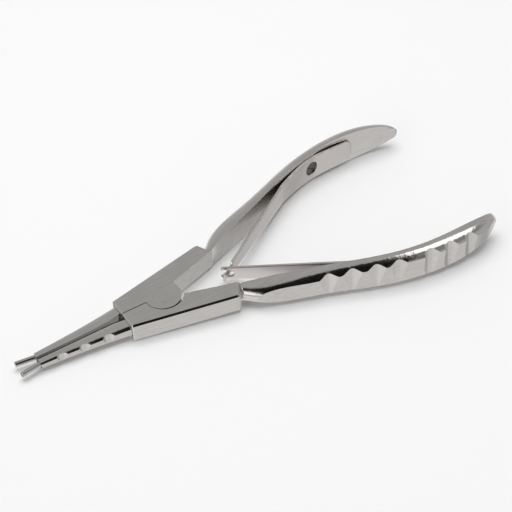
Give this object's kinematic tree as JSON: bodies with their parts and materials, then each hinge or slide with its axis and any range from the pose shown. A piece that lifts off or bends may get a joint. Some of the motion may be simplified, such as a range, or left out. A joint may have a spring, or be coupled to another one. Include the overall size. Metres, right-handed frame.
{
  "type": "ring opening pliers",
  "caption": "Reverse-action pliers: squeezing the scalloped handles spreads tapered jaws with round tip pins, and interlocked leaf springs close them.",
  "frame": {"origin": "on the pivot axis, at the underside of the joint's flat cheek", "axes": "+X from the pivot to the handle ends, along the closed jaws' centre line; +Y from the lower arm to the upper arm; +Z along the pivot axis"},
  "size_m": [0.1397, 0.0584, 0.0109],
  "materials": {
    "forged_steel": "satin ground and polished stainless steel",
    "pin_steel": "polished hardened steel",
    "spring_steel": "satin rolled spring steel",
    "screw_steel": "dark turned steel"
  },
  "bodies": {
    "lower": {"lower_arm": "forged_steel", "pivot_rivet": "forged_steel", "lower_tip_pin": "pin_steel", "lower_spring_root": "spring_steel", "lower_spring_screw": "screw_steel"},
    "upper": {"upper_arm": "forged_steel", "upper_tip_pin": "pin_steel", "upper_spring_root": "spring_steel", "upper_spring_screw": "screw_steel"},
    "upper_leaf": {"upper_spring_blade": "spring_steel"},
    "lower_leaf": {"lower_spring_blade": "spring_steel"}
  },
  "joints": [
    {"name": "pivot", "type": "hinge", "parent": "lower", "child": "upper", "pos_m": [0, 0, 0.00305], "axis": [0, 0, -1], "range_deg": [0, 22], "stiffness_Nm_per_rad": 0.3, "springref_deg": -2.86},
    {"name": "upper_leaf_bend", "type": "hinge", "parent": "upper", "child": "upper_leaf", "pos_m": [0.05, 0.0183, 0.00305], "axis": [0, 0, -1], "range_deg": [0, 7]},
    {"name": "lower_leaf_bend", "type": "hinge", "parent": "lower", "child": "lower_leaf", "pos_m": [0.05, -0.0183, 0.00305], "axis": [0, 0, 1], "range_deg": [0, 7]}
  ],
  "couplings": [
    {"joint": "upper_leaf_bend", "follows": "pivot", "ratio": 0.31},
    {"joint": "lower_leaf_bend", "follows": "pivot", "ratio": 0.31}
  ]
}
